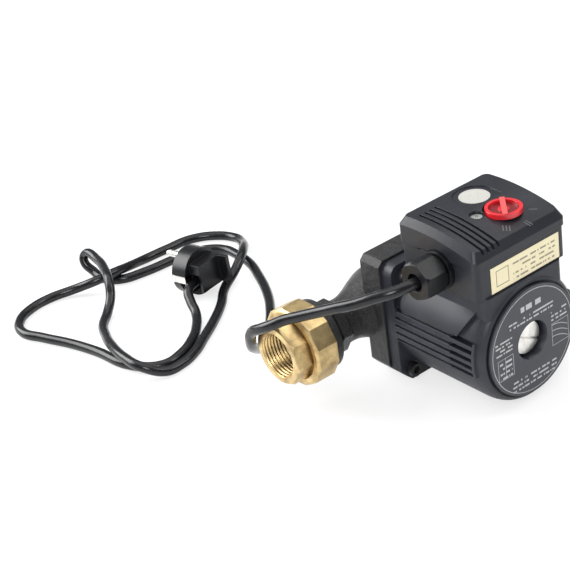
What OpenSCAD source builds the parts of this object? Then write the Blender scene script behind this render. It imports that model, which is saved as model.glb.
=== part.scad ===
// In-line wet-rotor circulation pump with two unions, terminal box and mains lead.
// X runs along the pipe, Y along the motor with the nameplate towards -Y, Z is up.

/* [Pipe ports] */
// Length over both port faces
port_to_port = 180; // [170:1:200]
// Bore of each port
port_bore = 24; // [20:0.5:25]
// Diameter of the port thread, at mid depth
port_thread_d = 46.4; // [46:0.1:48]
// Length of the thread on each port
port_thread_len = 13; // [11:0.5:14]
// Outside diameter of the necks beside the belly
port_neck_d = 29.5; // [28.5:0.5:31]
// Across flats of the wrench collar on each neck
wrench_af = 31; // [30:0.5:34]
// Width of the wrench collars
wrench_w = 8; // [6:0.5:9]

/* [Pump casting] */
// Diameter of the belly around the waterways
belly_d = 48.6; // [48:0.2:56]
// Width and height of the casting's square flange
block_w = 87; // [84:0.5:90]
// Diameter of the circle that rounds the upper corners
block_top_d = 118; // [112:1:122]
// Diameter of the circle that rounds the lower corners
block_low_d = 107; // [104:1:110]
// Distance from the port axis to the back of the flange
block_back = 8; // [7:0.5:9]
// Distance from the port axis to the motor joint
joint_at = 25; // [24:0.5:27]
// Diameter of the impeller chamber
chamber_d = 58; // [56:0.5:60]

/* [Unions] */
// Across corners of the twelve-sided union nuts
nut_d = 53; // [52.5:0.5:58]
// Length of each union nut
nut_len = 16.1; // [15:0.1:17]
// Thickness of the nut's inner shoulder
nut_shoulder = 2.8; // [2.4:0.1:3.4]
// Hole through the nut's shoulder
nut_hole_d = 42.4; // [42:0.1:43]
// Across corners of the eight-sided tailpieces
tail_d = 41; // [40:0.5:41.4]
// Thread bore of the tailpieces
tail_bore = 30.3; // [28:0.1:32]
// How far each tailpiece stands out of its nut
tail_out = 11.4; // [9:0.2:20]
// Thickness of the flat gaskets in the unions
union_gasket_t = 2; // [1.5:0.1:2.5]

/* [Motor casting] */
// Length from the motor joint to the front face
motor_len = 82.3; // [80:0.1:90]
// Diameter over the ribs
motor_d = 86; // [85:0.2:90]
// Diameter of the smooth body and the front rim
body_d = 83.2; // [82:0.2:84.5]
// Width and height of the motor's square flange
motor_flange_w = 84; // [82:0.5:86]
// Thickness of the motor flange
motor_flange_t = 9; // [7:0.5:10]
// Diameter of the bore that holds the stator
stator_bore = 65; // [63:0.5:66]
// Grooves on each flank
groove_n = 5; // [3:1:6]
// Angle from one groove to the next
groove_step = 6.9; // [6.4:0.1:7.6]
// Width of the grooves
groove_w = 1.8; // [1.2:0.1:2.4]
// Depth of the grooves
groove_deep = 2.2; // [1.5:0.1:2.8]
// Length of the slots that end the grooves
vent_len = 18; // [12:0.5:19]
// Width of the slots that end the grooves
vent_w = 2.8; // [2:0.1:3.2]
// Width of the plinth under the terminal box
plinth_w = 64; // [60:0.5:68]

/* [Nameplate and vent screw] */
// Diameter of the nameplate
plate_d = 71.8; // [68:0.2:74]
// Thickness of the nameplate
plate_t = 1.5; // [1:0.1:2]
// Hole in the middle of the nameplate
plate_hole_d = 25.2; // [24:0.1:26]
// Diameter of the vent screw's head
vent_head_d = 21.2; // [18:0.1:22]
// Thickness of the vent screw's head
vent_head_t = 4.6; // [4:0.1:5]

/* [Terminal box] */
// Width of the terminal box across the motor
box_w = 73.6; // [72:0.2:78]
// Length of the terminal box along the motor
box_len = 63; // [61:0.5:66]
// Height of the box's base
base_h = 20.8; // [20:0.2:24]
// Height of the lid at its highest line
lid_h = 17.5; // [16.5:0.1:19]
// Radius of the arch of the lid's top
lid_arch_r = 155; // [140:1:220]
// Wall of the box
box_wall = 2.5; // [2:0.1:3]
// Height of the bevel round the lid's top
bevel_h = 5; // [4:0.1:6]
// Width of the bevel round the lid's top
bevel_w = 3; // [2:0.1:4]
// Slots in the lid
slot_n = 4; // [2:1:5]
// Distance from one slot to the next
slot_step = 4.2; // [3.6:0.1:5]
// Width of the slots
slot_w = 1.8; // [1.2:0.1:2.2]

/* [Speed selector] */
// Diameter of the selector knob
knob_d = 22.6; // [20:0.2:24]
// Height of the knob above its seat
knob_h = 3.2; // [2.6:0.1:4]
// Angle from one speed to the next
speed_step = 48; // [40:1:50]
// Diameter of the knob's spindle
spindle_d = 7; // [6:0.1:8]

/* [Cable gland] */
// Across flats of the gland nut
gland_af = 21.6; // [20:0.2:22]
// Length of the gland nut
gland_nut_len = 17; // [15:0.5:18]
// Hole in the gland nut's mouth
gland_mouth_d = 11.6; // [10:0.1:12]
// Diameter of the mains cord
cord_d = 7; // [6:0.1:8]

/* [Rotor] */
// Diameter of the rotor shaft
shaft_d = 10; // [8:0.5:12]
// Diameter of the rotor core
rotor_d = 32; // [30:0.5:33]
// Diameter of the impeller
impeller_d = 52; // [48:0.5:54]
// Blades of the impeller
blade_n = 6; // [5:1:8]

/* [Mains plug] */
// Diameter of the plug's face
plug_d = 35; // [34:0.5:39]
// Thickness of the plug's round part
plug_t = 13; // [12:0.5:17]
// Length of the plug's pins
pin_len = 19; // [18:0.5:20]
// Diameter of the plug's pins
pin_d = 4.8; // [4.5:0.1:5]

/* [Hidden] */
$fn = 72;

// Overrun of cuts past a face
over = 1;
// Radial clearance of pieces that turn or slide in each other
run_gap = 0.05;
// Clearance between pieces that don't move against each other
fit_gap = 0.1;
// Clearance between pieces of different bodies
part_gap = 0.3;
// Paint and material colours
iron = [0.13, 0.13, 0.14];
motor_paint = [0.23, 0.24, 0.27];
plastic = [0.28, 0.28, 0.30];
dark_plastic = [0.12, 0.12, 0.13];
brass = [0.76, 0.63, 0.36];
steel = [0.75, 0.75, 0.76];
copper = [0.72, 0.40, 0.20];
rubber = [0.05, 0.05, 0.05];
knob_red = [0.86, 0.16, 0.18];

// Places along the motor, as distances ahead of the port axis
motor_front = joint_at + motor_len;
plate_front = motor_front + plate_t;
body_back = joint_at + motor_flange_t;
// Distance from the front face to the full front rim
rim_set = 10.3;
rim_at = motor_front - rim_set;
vents_to = rim_at + 3;
vents_from = vents_to - vent_len;
rib_r = motor_d/2;
body_r = body_d/2;
belly_r = belly_d/2;
// The port axis stands this high, on the casting's flange and the motor's rim
axis_h = block_w/2;
// The union nuts reach furthest back, at the middle of a flat
nut_turn = 15;
nut_reach = nut_d/2*cos(nut_turn);
// The part's middle lies this far ahead of the port axis
middle = (plate_front - nut_reach)/2;

// Places along the pipe
port_face = port_to_port/2;
thread_back = port_face - port_thread_len;
tail_seat = port_face + union_gasket_t;
// Thickness of the collar that holds each tailpiece in its nut
tail_collar_t = 3.7;
nut_front = tail_seat + tail_collar_t + nut_shoulder + fit_gap;
nut_back = nut_front - nut_len;
tail_end = nut_front + tail_out;

// Moves the pump's own frame, with its origin where the two axes cross, to the stand
module stand() translate([0, middle, axis_h]) children();
// Sends a drawing's Z towards the nameplate, starting at a distance ahead of the port axis
module ahead(at) translate([0, -at, 0]) rotate([90, 0, 0]) children();
// Sends a drawing's Z along the pipe
module piped(at) translate([at, 0, 0]) rotate([0, 90, 0]) children();
// Extrudes a side view, drawn as [Y, Z], across the whole width given
module side_view(w) translate([-w/2, 0, 0]) rotate([90, 0, 90]) linear_extrude(w) children();
// Turns a profile of [radius, distance ahead] about the motor axis
module turned(points) rotate([90, 0, 0]) rotate_extrude() polygon(points);
// Turns a profile of [radius, place along X] about the port axis
module turned_on_pipe(points) rotate([0, 90, 0]) rotate_extrude() polygon(points);
// A tube with its foot at zero
module tube(r_out, r_in, h) difference() {
    cylinder(r = r_out, h = h);
    translate([0, 0, -over]) cylinder(r = r_in, h = h + 2*over);
}
// A flat rectangle with round corners, centred
module rounded(w, d, r) {
    square([w - 2*r, d], center = true);
    square([w, d - 2*r], center = true);
    for (x = [-1, 1], y = [-1, 1]) translate([x*(w/2 - r), y*(d/2 - r)]) circle(r = r);
}
// Points of an arc
function arc(c, r, from, to, n) = [for (i = [0:n]) c + r*[cos(from + (to - from)*i/n), sin(from + (to - from)*i/n)]];
function smooth(t) = t*t*(3 - 2*t);

// Pump casting

// The flange's outline: square, with its corners cut by two circles
module block_outline() {
    intersection() {
        translate([-block_w/2, 0]) square([block_w, block_w/2]);
        circle(d = block_top_d);
    }
    intersection() {
        translate([-block_w/2, -block_w/2]) square([block_w, block_w/2]);
        circle(d = block_low_d);
    }
}
// Half length of the belly's full diameter, and where it has narrowed to the neck
belly_full = 24;
belly_end = 56;
belly_steps = 10;
neck_r = port_neck_d/2;
wrench_front = thread_back - 6.5;
// Each bolt lies on this circle, on the flange's diagonals
bolt_circle = 94.8;
bolt_d = 6;
bolt_deep = 12;
bolt_clear = 0.2;
module at_bolts() for (a = [45:90:315]) rotate([0, 0, a]) translate([bolt_circle/2, 0]) children();
function belly_profile() = concat(
    [[0, -thread_back]],
    [for (i = [0:belly_steps]) let (t = i/belly_steps)
        [neck_r + (belly_r - neck_r)*smooth(t), -belly_end + (belly_end - belly_full)*t]],
    [for (i = [belly_steps:-1:0]) let (t = i/belly_steps)
        [neck_r + (belly_r - neck_r)*smooth(t), belly_end - (belly_end - belly_full)*t]],
    [[0, thread_back]]);
// The recess in the joint face that takes the gasket and the bearing plate
recess_d = 70;
gasket_t = 1.5;
bearing_plate_t = 2;
recess_deep = gasket_t + bearing_plate_t;
chamber_back = 9.2;
// The suction channel lies behind the impeller
channel_d = 17;
channel_set = 3.6;
// Where the thread runs out, behind its full turns
runout_from = 1;
runout_to = 5.5;
eye_d = 17;
module pump_housing() color(iron) stand() difference() {
    union() {
        turned_on_pipe(belly_profile());
        for (s = [-1, 1]) {
            piped(s < 0 ? -thread_back : belly_end - over) cylinder(r = neck_r, h = thread_back - belly_end + over);
            piped(s < 0 ? -wrench_front : wrench_front - wrench_w)
                rotate([0, 0, 30]) cylinder(d = wrench_af/cos(30), h = wrench_w, $fn = 6);
            mirror([s < 0 ? 0 : 1, 0, 0]) turned_on_pipe([[0, -port_face], [port_thread_d/2, -port_face],
                [port_thread_d/2, -thread_back + runout_from], [neck_r, -thread_back + runout_to], [0, -thread_back + runout_to]]);
        }
        ahead(block_back) linear_extrude(joint_at - block_back) block_outline();
    }
    for (s = [-1, 1]) piped(s < 0 ? -port_face - over : port_face/2)
        cylinder(d = port_bore, h = port_face/2 + over);
    translate([0, channel_set, 0]) piped(-port_face/2 - channel_set) cylinder(d = channel_d, h = port_face/2 + channel_set + eye_d/2);
    translate([0, channel_set, 0]) rotate([90, 0, 0]) cylinder(d = eye_d, h = channel_set + joint_at);
    // The outlet rises from the chamber's rim to the right port
    outlet();
    ahead(chamber_back) cylinder(d = chamber_d, h = joint_at);
    ahead(joint_at - recess_deep) cylinder(d = recess_d, h = recess_deep + over);
    ahead(joint_at - bolt_deep) linear_extrude(bolt_deep + over) at_bolts() circle(d = bolt_d + bolt_clear);
}
// The outlet's bore, slanting from the chamber's edge to the right port
outlet_d = 14;
module outlet() {
    from = [chamber_d/2 - outlet_d/3, -(chamber_back + outlet_d/2), 0];
    to = [port_face*0.62, 0, 0];
    run = to - from;
    translate(from) rotate([0, 90, atan2(run[1], run[0])]) cylinder(d = outlet_d, h = norm(run) + outlet_d/4);
}
module housing_gasket() color(rubber) stand() ahead(joint_at - recess_deep)
    tube(recess_d/2 - fit_gap, chamber_d/2 + 1, gasket_t);
module wear_ring() color(steel) stand() ahead(chamber_back)
    tube(eye_d/2 + 2.6, eye_d/2, 1.2);

// Bearings, can and rotor

can_out_r = 17.5;
can_wall = 0.5;
can_in_r = can_out_r - can_wall;
hub_len = 9;
rear_bearing_r = 9;
front_hub_at = motor_front - 9.3;
vent_boss_at = front_hub_at - 5;
can_end = vent_boss_at - 1.2;
front_bearing_t = 4.5;
module bearing_plate() color(steel) stand() difference() {
    union() {
        ahead(joint_at - bearing_plate_t) cylinder(r = recess_d/2 - fit_gap, h = bearing_plate_t);
        ahead(joint_at - bearing_plate_t) cylinder(r = can_in_r - fit_gap, h = bearing_plate_t + hub_len);
    }
    ahead(joint_at - bearing_plate_t - over) cylinder(r = rear_bearing_r, h = bearing_plate_t + hub_len + 2*over);
}
module rotor_can() color(steel) stand() {
    ahead(joint_at) tube(can_out_r, can_in_r, can_end - joint_at);
    ahead(can_end) tube(can_out_r, vent_stem_r + 1, vent_boss_at - can_end);
}
module rear_bearing() color([0.85, 0.84, 0.80]) stand() ahead(joint_at - bearing_plate_t)
    tube(rear_bearing_r, shaft_d/2 + run_gap, bearing_plate_t + hub_len);
module front_bearing() color([0.85, 0.84, 0.80]) stand() ahead(can_end - front_bearing_t)
    tube(can_in_r, shaft_d/2 + run_gap, front_bearing_t);
core_from = 46;
core_len = 38;
shaft_from = chamber_back + 2.2;
shaft_to = can_end - part_gap;
module rotor_shaft() color(steel) stand() ahead(shaft_from) cylinder(d = shaft_d, h = shaft_to - shaft_from);
module rotor_core() color(steel) stand() ahead(core_from) tube(rotor_d/2, shaft_d/2, core_len);
thrust_t = 3;
module thrust_ring() color(dark_plastic) stand()
    ahead(joint_at + hub_len + part_gap) tube(rear_bearing_r, shaft_d/2, thrust_t);
// The impeller draws water in at its back and throws it outwards
shroud_t = 1.2;
blade_h = 5;
blade_t = 1.6;
blade_sweep = 55;
blade_steps = 8;
impeller_from = chamber_back + 1.5;
hub_r = 8;
module blade() {
    inner = hub_r + 1;
    outer = impeller_d/2 - 0.5;
    function spine(t, side) = let (r = inner + (outer - inner)*t, a = blade_sweep*t*t)
        [r*cos(a) - side*blade_t/2*sin(a), r*sin(a) + side*blade_t/2*cos(a)];
    polygon(concat([for (i = [0:blade_steps]) spine(i/blade_steps, -1)],
        [for (i = [blade_steps:-1:0]) spine(i/blade_steps, 1)]));
}
module impeller() color([0.80, 0.78, 0.70]) stand() {
    ahead(impeller_from) tube(impeller_d/2, eye_d/2 + 1.5, shroud_t);
    ahead(impeller_from + shroud_t) linear_extrude(blade_h) difference() {
        union() {
            for (i = [0:blade_n - 1]) rotate([0, 0, i*360/blade_n]) blade();
            circle(r = hub_r + 1.5);
        }
        circle(d = shaft_d);
    }
    ahead(impeller_from + shroud_t + blade_h) tube(impeller_d/2, shaft_d/2, shroud_t);
}

// Motor casting

pad_rise = 0.8;
pad_r = rib_r + pad_rise;
pad_low = 12.5;
pad_from = body_back + 3.5;
pad_to_low = vents_from + 4.5;
pad_to_high = rim_at + 2;
pad_bend = 34;
pad_corner = 8;
box_floor = 40.5;
plinth_corner = 4;
plinth_from = 43;
plinth_to = motor_front - 1.8;
groove_top = 17.5;
// The grooves end this far before the flange
groove_stop = 0.6;
band_low = rib_r*sin((groove_n - 1)*groove_step - groove_top) + groove_w;
wire_way_d = 9;
plate_seat_r = plate_d/2 - 1.1;
plate_gap_deep = 2.2;
flange_corner = 7;
rim_face_r = plate_d/2 + 1.1;
rim_points = 6;
vent_recess_d = plate_hole_d;
vent_stem_r = 7.8;
module motor_flange_outline() {
    translate([0, motor_flange_w/4]) rounded(motor_flange_w, motor_flange_w/2, flange_corner);
    intersection() {
        translate([-motor_flange_w/2, -motor_flange_w/2]) square([motor_flange_w, motor_flange_w*0.7]);
        circle(d = block_low_d);
    }
}
// Left side view of the smooth pad, drawn as [Y, Z]
module pad_outline() polygon(concat(
    arc([-pad_from - pad_corner, pad_low + pad_corner], pad_corner, 0, -90, 6),
    [[-pad_to_low, pad_low], [-pad_to_high, pad_bend], [-pad_to_high, box_floor], [-pad_from, box_floor]]));
// Places its children on both flanks, at each groove's angle above the horizontal
module at_grooves() for (i = [0:groove_n - 1]) {
    rise = groove_top - i*groove_step;
    rotate([0, rise, 0]) mirror([1, 0, 0]) children();
    rotate([0, -rise, 0]) children();
}
// Profile of the front, from the full rim to the seat of the nameplate
plate_rim = 0.6;
function front_profile() = concat(
    [[0, body_back - over], [body_r, body_back - over]],
    [for (i = [0:rim_points]) let (t = 90*i/rim_points)
        [rim_face_r + (body_r - rim_face_r)*cos(t), rim_at + (motor_front - plate_rim - rim_at)*sin(t)]],
    [[rim_face_r, motor_front - plate_gap_deep], [plate_seat_r, motor_front - plate_gap_deep],
        [plate_seat_r, motor_front], [0, motor_front]]);
// The ribbed bands stand out of the body on both flanks, between the pads and the smooth underside
module rib_bands() intersection() {
    ahead(body_back - over) cylinder(r = rib_r, h = vents_to + 2 - body_back + over);
    translate([-rib_r - over, -rim_at - 2*over - rib_r, -band_low]) cube([2*rib_r + 2*over, rib_r + rim_at, band_low + pad_low + over]);
}
vent_deep = 5.72;
front_wall = 4;
wire_way_set = 20;
module stator_housing() color(motor_paint) stand() difference() {
    union() {
        ahead(joint_at) linear_extrude(motor_flange_t) motor_flange_outline();
        // The crown is cut flat under the terminal box
        difference() {
            turned(front_profile());
            translate([-plinth_w/2, -box_front - part_gap, box_floor - fit_gap])
                cube([plinth_w, box_len + 2*part_gap, body_r]);
        }
        rib_bands();
        intersection() {
            ahead(pad_from) cylinder(r = pad_r, h = pad_to_high - pad_from);
            side_view(2*pad_r + over) pad_outline();
        }
        translate([0, -(plinth_from + plinth_to)/2, box_floor/2])
            linear_extrude(box_floor/2) rounded(plinth_w, plinth_to - plinth_from, plinth_corner);
    }
    at_grooves() translate([rib_r - groove_deep, -vents_from - over, -groove_w/2])
        cube([groove_deep + pad_rise + over, vents_from - body_back - groove_stop + over, groove_w]);
    at_grooves() translate([rib_r - vent_deep, -vents_to, -vent_w/2])
        cube([vent_deep + pad_rise + over, vent_len, vent_w]);
    ahead(joint_at - over) cylinder(d = stator_bore, h = front_hub_at - joint_at + over - front_wall);
    ahead(joint_at) cylinder(r = can_out_r + fit_gap, h = vent_boss_at - joint_at);
    ahead(joint_at) cylinder(r = vent_stem_r + run_gap, h = motor_len + over);
    ahead(front_hub_at) cylinder(d = vent_recess_d, h = motor_front - front_hub_at + over);
    ahead(joint_at - over) linear_extrude(motor_flange_t + 2*over) at_bolts() circle(d = bolt_d + bolt_clear);
    // The way for the winding leads and the holes for the box's screws
    translate([0, -(body_back + wire_way_set), 0]) cylinder(d = wire_way_d, h = box_floor + over);
    at_box_screws() translate([0, 0, -box_screw_deep]) cylinder(d = box_screw_d + bolt_clear, h = box_screw_deep + over);
    ahead(body_back) linear_extrude(2*bolt_head_t) at_bolts() circle(d = bolt_head_d + bolt_room);
}
bolt_head_d = 9;
bolt_head_t = 5;
bolt_room = 1;
socket_af = 4.6;
module flange_bolts() color(dark_plastic) stand() {
    ahead(body_back) linear_extrude(bolt_head_t) at_bolts() difference() {
        circle(d = bolt_head_d);
        circle(d = socket_af/cos(30), $fn = 6);
    }
    ahead(joint_at - bolt_deep + over) linear_extrude(bolt_deep - over + motor_flange_t + bolt_head_t/2)
        at_bolts() circle(d = bolt_d);
}
stack_from = 44;
stack_len = 42;
stator_in_r = can_out_r + 0.5;
module stator_core() color([0.55, 0.56, 0.58]) stand()
    ahead(stack_from) tube(stator_bore/2 - fit_gap, stator_in_r, stack_len);
winding_len = 7.5;
winding_round = 3;
winding_in = 1;
winding_out = 2.5;
module stator_windings() color(copper) stand() for (s = [0, 1]) {
    foot = s == 0 ? stack_from - fit_gap : stack_from + stack_len + fit_gap;
    out = s == 0 ? -1 : 1;
    inner = stator_in_r + winding_in;
    outer = stator_bore/2 - winding_out;
    turned([[inner, foot], [outer, foot], [outer, foot + out*(winding_len - winding_round)],
        [outer - winding_round, foot + out*winding_len], [inner + winding_round, foot + out*winding_len],
        [inner, foot + out*(winding_len - winding_round)]]);
}

// Nameplate and vent screw

module nameplate() color([0.41, 0.42, 0.44]) stand() ahead(motor_front) tube(plate_d/2, plate_hole_d/2, plate_t);
vent_seal_t = 1.4;
slot_deep = 1.2;
driver_slot_w = 1.5;
vent_slot_turn = -27.5;
module vent_seal() color(rubber) stand() ahead(front_hub_at) tube(vent_head_d/2 - 1, vent_stem_r + run_gap, vent_seal_t);
module vent_screw() color([0.93, 0.92, 0.90]) stand() difference() {
    union() {
        ahead(front_hub_at + vent_seal_t) cylinder(d = vent_head_d, h = vent_head_t);
        ahead(vent_boss_at + 0.5) cylinder(r = vent_stem_r, h = front_hub_at + vent_seal_t - vent_boss_at);
    }
    ahead(front_hub_at + vent_seal_t + vent_head_t - slot_deep) rotate([0, 0, vent_slot_turn])
        translate([-vent_head_d, -driver_slot_w/2, 0]) cube([2*vent_head_d, driver_slot_w, slot_deep + over]);
}

// Terminal box

box_back = 41;
box_front = box_back + box_len;
box_mid = (box_back + box_front)/2;
box_corner = 3.5;
lid_spread = 0.7;
lid_floor = box_floor + base_h;
lid_top = lid_floor + lid_h;
// Where the lid's top is highest, and where the cable gland stands, along and up the box
arch_share = 0.2222;
gland_share = 0.5238;
gland_up_share = 0.625;
arch_at = box_back + arch_share*box_len;
gland_at = box_back + gland_share*box_len;
gland_up = box_floor + gland_up_share*base_h;
box_screw_d = 3.6;
box_screw_deep = 7;
box_head_d = 7;
// The terminal block's length, and its place beside the box's left wall
block_len = 30;
block_side = 3.3;
block_x = -box_w/2 + box_wall + block_len/2 + block_side;
// Room from the screws' heads to the terminal block, the box's walls and the edge of the plinth
back_screw_side = 7.5;
back_screw_room = 1;
front_screw_room = 4;
front_screw_side = 11;
box_screw_places = [
    [block_x + block_len/2 + box_head_d/2 + back_screw_side, -box_back - box_wall - box_head_d/2 - back_screw_room],
    [front_screw_side - plinth_w/2, -box_front + box_wall + box_head_d/2 + front_screw_room]];
module at_box_screws() for (p = box_screw_places) translate([p[0], p[1], box_floor]) children();
module over_box() translate([0, -box_mid, 0]) children();
// Height of the lid's arched top at a distance ahead of the port axis
function arch_z(at) = lid_top - (at - arch_at)*(at - arch_at)/(2*lid_arch_r);
module terminal_box_base() color(plastic) stand() difference() {
    translate([0, 0, box_floor]) over_box() linear_extrude(base_h) rounded(box_w, box_len, box_corner);
    translate([0, 0, box_floor + box_wall]) over_box()
        linear_extrude(base_h) rounded(box_w - 2*box_wall, box_len - 2*box_wall, box_corner - box_wall/2);
    translate([0, -gland_at, gland_up]) piped(-box_w) cylinder(r = gland_tube_r, h = box_w);
    translate([0, -(body_back + wire_way_set), 0]) cylinder(d = wire_way_d, h = lid_floor);
    at_box_screws() translate([0, 0, -over]) cylinder(d = box_screw_d + bolt_clear, h = box_wall + 2*over);
}
box_head_t = 2.4;
module box_screws() color(steel) stand() at_box_screws() {
    translate([0, 0, box_wall]) cylinder(d = box_head_d, h = box_head_t);
    translate([0, 0, -box_screw_deep + over]) cylinder(d = box_screw_d, h = box_screw_deep + box_wall);
}
// A closed slab whose top follows the arch, lowered and drawn in as told
arch_steps = 10;
module arched_slab(draw_in, lower) {
    from = box_back - lid_spread + draw_in;
    to = box_front + lid_spread - draw_in;
    intersection() {
        side_view(box_w + 2*lid_spread) polygon(concat([[-to, lid_floor], [-from, lid_floor]],
            [for (i = [0:arch_steps]) let (at = from + (to - from)*i/arch_steps) [-at, arch_z(at) - lower]]));
        over_box() linear_extrude(2*lid_top) rounded(box_w + 2*lid_spread - 2*draw_in,
            box_len + 2*lid_spread - 2*draw_in, box_corner, $fn = 32);
    }
}
module lid_shell(wall) hull() {
    arched_slab(wall, bevel_h + wall);
    arched_slab(bevel_w + wall, wall);
}
// Places of the knob, the sticker, the lid's screw, the slots and the notch, as shares of the box
knob_side_share = 0.1087;
knob_share = 0.6825;
sticker_share = 0.3016;
lid_screw_share = 0.5635;
slot_share = 0.1667;
slot_side_share = 0.4076;
notch_share = 0.3254;
knob_x = knob_side_share*box_w;
knob_at = box_back + knob_share*box_len;
sticker_at = box_back + sticker_share*box_len;
sticker_d = 19;
film_t = 0.3;
dial_sunk = 0.9;
dial_room = 1.2;
sticker_sunk = 0.7;
dial_seat = arch_z(knob_at) - dial_sunk;
dial_pocket_d = knob_d + 2*dial_room;
sticker_pocket_d = 27;
sticker_seat = arch_z(sticker_at) - sticker_sunk;
lid_screw_hole_d = 8.4;
switch_w = 15;
switch_room = 1;
lid_screw_x = knob_x - switch_w/2 - lid_screw_hole_d/2 - box_wall - switch_room;
lid_screw_at = box_back + lid_screw_share*box_len;
slot_x = -slot_side_share*box_w;
slot_back = box_back + slot_share*box_len;
slot_below = 2.4;
slot_low = arch_z(box_front) - slot_below;
notch_w = 9;
notch_deep = 1.2;
notch_at = box_back + notch_share*box_len;
module terminal_box_lid() color(plastic) stand() difference() {
    lid_shell(0);
    difference() {
        translate([0, 0, -over]) lid_shell(box_wall);
        translate([lid_screw_x, -lid_screw_at, lid_floor - over]) cylinder(r = lid_screw_hole_d/2 + box_wall, h = lid_h);
    }
    translate([knob_x, -knob_at, 0]) cylinder(r = spindle_d/2 + run_gap, h = lid_top + over);
    translate([knob_x, -knob_at, dial_seat]) cylinder(d = dial_pocket_d, h = lid_h);
    translate([knob_x, -sticker_at, sticker_seat]) cylinder(d = sticker_pocket_d, h = lid_h);
    translate([knob_x - sticker_pocket_d/2, -knob_at, sticker_seat])
        cube([sticker_pocket_d, knob_at - sticker_at, lid_h]);
    translate([lid_screw_x, -lid_screw_at, lid_floor + screw_seat]) cylinder(d = lid_screw_hole_d, h = lid_h);
    translate([lid_screw_x, -lid_screw_at, 0]) cylinder(d = lid_screw_d + bolt_clear, h = lid_top);
    for (i = [0:slot_n - 1]) translate([slot_x + i*slot_step, -box_front - lid_spread - over, slot_low])
        cube([slot_w, box_front + lid_spread + over - slot_back, lid_h]);
    translate([-box_w/2 - lid_spread - over, -notch_at - notch_w/2, lid_floor - over])
        cube([over + notch_deep, notch_w, 2*over]);
    at_gland() piped(-box_w) cylinder(r = gland_plate_r + part_gap, h = box_w/2 + fit_gap);
}
seal_t = 0.6;
seal_w = 2;
seal_corner = 1;
module lid_seal() color(rubber) stand() translate([0, 0, lid_floor - seal_t - fit_gap]) over_box() linear_extrude(seal_t) difference() {
    rounded(box_w - 2*box_wall - 2*fit_gap, box_len - 2*box_wall - 2*fit_gap, box_corner - box_wall/2);
    rounded(box_w - 2*box_wall - 2*seal_w, box_len - 2*box_wall - 2*seal_w, seal_corner);
}
screw_seat = 9.5;
lid_screw_d = 4;
module lid_screw() color(steel) stand() translate([lid_screw_x, -lid_screw_at, 0]) difference() {
    union() {
        translate([0, 0, box_floor + box_wall + fit_gap]) cylinder(d = lid_screw_d, h = lid_floor + screw_seat - box_floor - box_wall);
        translate([0, 0, lid_floor + screw_seat]) cylinder(d = lid_screw_hole_d - 1.4, h = 2.6);
    }
    for (a = [0, 90]) rotate([0, 0, a]) translate([-2.4, -0.5, lid_floor + screw_seat + 1.4]) cube([4.8, 1, 2]);
}
// The capacitor fills the room between the switch's leg and the box's wall
cap_len = 42;
cap_gap = 1;
leg_t = 1;
leg_w = 4;
leg_gap = 2.8;
cap_d = box_w/2 - box_wall - cap_gap - (knob_x + switch_w/3 + leg_t/2) - leg_gap;
cap_x = box_w/2 - box_wall - cap_d/2 - cap_gap;
module capacitor() color([0.75, 0.76, 0.78]) stand() translate([cap_x, 0, box_floor + box_wall + cap_d/2])
    ahead(box_mid - cap_len/2) cylinder(d = cap_d, h = cap_len);
block_deep = 11;
block_high = 12;
block_room = 2;
way_n = 3;
way_step = 9;
way_screw_d = 4;
way_screw_down = 1;
module terminal_block() color([0.85, 0.85, 0.83]) stand()
    translate([block_x, -(box_back + box_wall + block_deep/2 + block_room), box_floor + box_wall]) difference() {
        translate([-block_len/2, -block_deep/2, 0]) cube([block_len, block_deep, block_high]);
        for (i = [-1:1]) translate([i*way_step, 0, block_high/2]) cylinder(d = way_screw_d + bolt_clear, h = block_high);
        for (i = [-1:1]) translate([i*way_step, 0, block_high/4]) rotate([90, 0, 0]) cylinder(d = way_screw_d, h = 2*block_deep, center = true);
    }
module terminal_screws() color(steel) stand()
    translate([block_x, -(box_back + box_wall + block_deep/2 + block_room), box_floor + box_wall])
        for (i = [-1:1]) translate([i*way_step, 0, block_high/2 + fit_gap]) cylinder(d = way_screw_d, h = block_high/2 - way_screw_down);
switch_h = 9;
switch_down = 2;
spindle_foot = 2;
switch_top = dial_seat - box_wall - switch_down;
module speed_switch() color(dark_plastic) stand() translate([knob_x, -knob_at, 0]) difference() {
    union() {
        translate([-switch_w/2, -switch_w/2, switch_top - switch_h]) cube([switch_w, switch_w, switch_h]);
        for (x = [-1, 1]) translate([x*switch_w/3 - leg_t/2, -leg_w/2, box_floor + box_wall]) cube([leg_t, leg_w, switch_top - switch_h - box_floor - box_wall]);
    }
    translate([0, 0, switch_top - switch_h + spindle_foot]) cylinder(r = spindle_d/2 + run_gap, h = switch_h);
}
ring_w = 2.2;
bar_w = 3.2;
bar_rise = 1;
first_mark = -35;
pointer_turn = first_mark - 2*speed_step;
module selector_knob() color(knob_red) stand() translate([knob_x, -knob_at, 0]) {
    translate([0, 0, dial_seat + part_gap]) difference() {
        cylinder(d = knob_d, h = knob_h);
        translate([0, 0, knob_h - 1.8]) cylinder(r = knob_d/2 - ring_w, h = knob_h);
    }
    translate([0, 0, switch_top - switch_h + spindle_foot + part_gap]) cylinder(d = spindle_d, h = dial_seat - switch_top + switch_h);
    rotate([0, 0, pointer_turn]) translate([-knob_d/2 + 0.6, -bar_w/2, dial_seat + part_gap + knob_h/3])
        cube([knob_d - 1.2, bar_w, knob_h*2/3 + bar_rise]);
}
module round_sticker() color([0.82, 0.81, 0.80]) stand() translate([knob_x, -sticker_at, sticker_seat]) cylinder(d = sticker_d, h = film_t);
// Room round the front label and how thick the films are
label_side = 8.3;
label_low = 1.2;
label_high = 3;
label_x = 2.6;
label_w = box_w - 2*label_side;
label_h = base_h - label_low - label_high;
module front_label() color([0.98, 0.94, 0.76]) stand()
    translate([label_x - label_w/2, -box_front - film_t, box_floor + label_low]) cube([label_w, film_t, label_h]);

// Cable gland

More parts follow.
